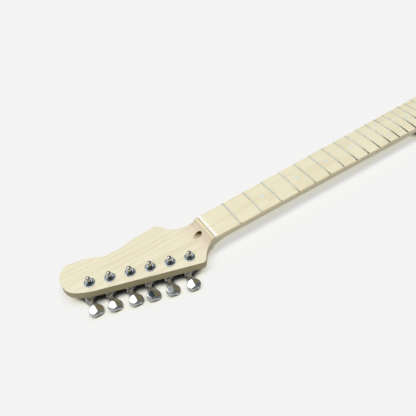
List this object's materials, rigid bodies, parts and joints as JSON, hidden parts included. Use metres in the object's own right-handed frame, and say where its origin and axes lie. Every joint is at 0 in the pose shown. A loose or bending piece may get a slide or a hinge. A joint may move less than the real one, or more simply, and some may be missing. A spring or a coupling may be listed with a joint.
{
  "type": "electric guitar neck",
  "caption": "Bolt-on maple guitar neck with crowned fretboard, frets, nut, truss rod and an in-line row of worm-geared tuners whose buttons turn their string posts",
  "frame": {"origin": "centre of the four heel screw holes, on the flat back of the heel", "axes": "+X along the neck from the heel to the headstock tip, +Y to the tuner side, +Z out of the fretboard"},
  "size_m": [0.6681, 0.1149, 0.0341],
  "materials": {
    "maple_neck": "satin",
    "maple_board": "satin",
    "fret_wire": "polished",
    "white_nut": "satin",
    "pale_dots": "polished",
    "brass_blocks": "machined",
    "rod_steel": "machined",
    "gear_brass": "machined",
    "screw_steel": "polished",
    "bushing_plastic": "satin",
    "shaft_steel": "polished",
    "tuner_chrome": "polished"
  },
  "bodies": {
    "neck_frame": {"face_bushings": "tuner_chrome", "fretboard": "maple_board", "frets": "fret_wire", "mount_screws": "screw_steel", "neck": "maple_neck", "nut": "white_nut", "position_dots": "pale_dots", "shaft_bushings": "bushing_plastic", "side_dots": "pale_dots", "truss_bar": "rod_steel", "truss_blocks": "brass_blocks", "tuner_1_housing": "tuner_chrome", "tuner_2_housing": "tuner_chrome", "tuner_3_housing": "tuner_chrome", "tuner_4_housing": "tuner_chrome", "tuner_5_housing": "tuner_chrome", "tuner_6_housing": "tuner_chrome", "tuner_covers": "tuner_chrome", "washers": "tuner_chrome"},
    "button_6": {"tuner_6_worm_shaft": "shaft_steel", "tuner_6_button": "tuner_chrome", "tuner_6_button_screw": "screw_steel"},
    "post_6": {"tuner_6_post": "tuner_chrome", "tuner_6_gear": "gear_brass", "tuner_6_gear_screw": "screw_steel"},
    "button_5": {"tuner_5_worm_shaft": "shaft_steel", "tuner_5_button": "tuner_chrome", "tuner_5_button_screw": "screw_steel"},
    "post_5": {"tuner_5_post": "tuner_chrome", "tuner_5_gear": "gear_brass", "tuner_5_gear_screw": "screw_steel"},
    "button_4": {"tuner_4_worm_shaft": "shaft_steel", "tuner_4_button": "tuner_chrome", "tuner_4_button_screw": "screw_steel"},
    "post_4": {"tuner_4_post": "tuner_chrome", "tuner_4_gear": "gear_brass", "tuner_4_gear_screw": "screw_steel"},
    "button_3": {"tuner_3_worm_shaft": "shaft_steel", "tuner_3_button": "tuner_chrome", "tuner_3_button_screw": "screw_steel"},
    "post_3": {"tuner_3_post": "tuner_chrome", "tuner_3_gear": "gear_brass", "tuner_3_gear_screw": "screw_steel"},
    "button_2": {"tuner_2_worm_shaft": "shaft_steel", "tuner_2_button": "tuner_chrome", "tuner_2_button_screw": "screw_steel"},
    "post_2": {"tuner_2_post": "tuner_chrome", "tuner_2_gear": "gear_brass", "tuner_2_gear_screw": "screw_steel"},
    "button_1": {"tuner_1_worm_shaft": "shaft_steel", "tuner_1_button": "tuner_chrome", "tuner_1_button_screw": "screw_steel"},
    "post_1": {"tuner_1_post": "tuner_chrome", "tuner_1_gear": "gear_brass", "tuner_1_gear_screw": "screw_steel"},
    "truss_adjuster": {"truss_rod": "rod_steel", "truss_nut": "rod_steel"}
  },
  "joints": [
    {"name": "button_6_turn", "type": "hinge", "parent": "neck_frame", "child": "button_6", "pos_m": [0.47711, 0.0214, -0.002], "axis": [0.1426, 0.9898, 0], "continuous": true},
    {"name": "post_6_turn", "type": "hinge", "parent": "neck_frame", "child": "post_6", "pos_m": [0.4688, 0.0226, 0.0165], "axis": [0, 0, 1], "continuous": true},
    {"name": "button_5_turn", "type": "hinge", "parent": "neck_frame", "child": "button_5", "pos_m": [0.5011, 0.01321, -0.002], "axis": [0.1771, 0.9842, 0], "continuous": true},
    {"name": "post_5_turn", "type": "hinge", "parent": "neck_frame", "child": "post_5", "pos_m": [0.49283, 0.0147, 0.0165], "axis": [0, 0, 1], "continuous": true},
    {"name": "button_4_turn", "type": "hinge", "parent": "neck_frame", "child": "button_4", "pos_m": [0.52517, 0.00553, -0.002], "axis": [0.1513, 0.9885, 0], "continuous": true},
    {"name": "post_4_turn", "type": "hinge", "parent": "neck_frame", "child": "post_4", "pos_m": [0.51687, 0.0068, 0.0165], "axis": [0, 0, 1], "continuous": true},
    {"name": "button_3_turn", "type": "hinge", "parent": "neck_frame", "child": "button_3", "pos_m": [0.54929, -0.0015, -0.002], "axis": [0.0471, 0.9989, 0], "continuous": true},
    {"name": "post_3_turn", "type": "hinge", "parent": "neck_frame", "child": "post_3", "pos_m": [0.5409, -0.00111, 0.0165], "axis": [0, 0, 1], "continuous": true},
    {"name": "button_2_turn", "type": "hinge", "parent": "neck_frame", "child": "button_2", "pos_m": [0.57332, -0.00948, -0.002], "axis": [0.0558, 0.9984, 0], "continuous": true},
    {"name": "post_2_turn", "type": "hinge", "parent": "neck_frame", "child": "post_2", "pos_m": [0.56494, -0.00901, 0.0165], "axis": [0, 0, 1], "continuous": true},
    {"name": "button_1_turn", "type": "hinge", "parent": "neck_frame", "child": "button_1", "pos_m": [0.59737, -0.01687, -0.002], "axis": [-0.0052, 1, 0], "continuous": true},
    {"name": "post_1_turn", "type": "hinge", "parent": "neck_frame", "child": "post_1", "pos_m": [0.58897, -0.01691, 0.0165], "axis": [0, 0, 1], "continuous": true},
    {"name": "truss_adjust", "type": "hinge", "parent": "neck_frame", "child": "truss_adjuster", "pos_m": [0.425, 0, 0.0146], "axis": [1, 0, 0], "range_deg": [-360, 360]}
  ],
  "couplings": [
    {"joint": "post_6_turn", "follows": "button_6_turn", "ratio": -0.071429},
    {"joint": "post_5_turn", "follows": "button_5_turn", "ratio": -0.071429},
    {"joint": "post_4_turn", "follows": "button_4_turn", "ratio": -0.071429},
    {"joint": "post_3_turn", "follows": "button_3_turn", "ratio": -0.071429},
    {"joint": "post_2_turn", "follows": "button_2_turn", "ratio": -0.071429},
    {"joint": "post_1_turn", "follows": "button_1_turn", "ratio": -0.071429}
  ]
}
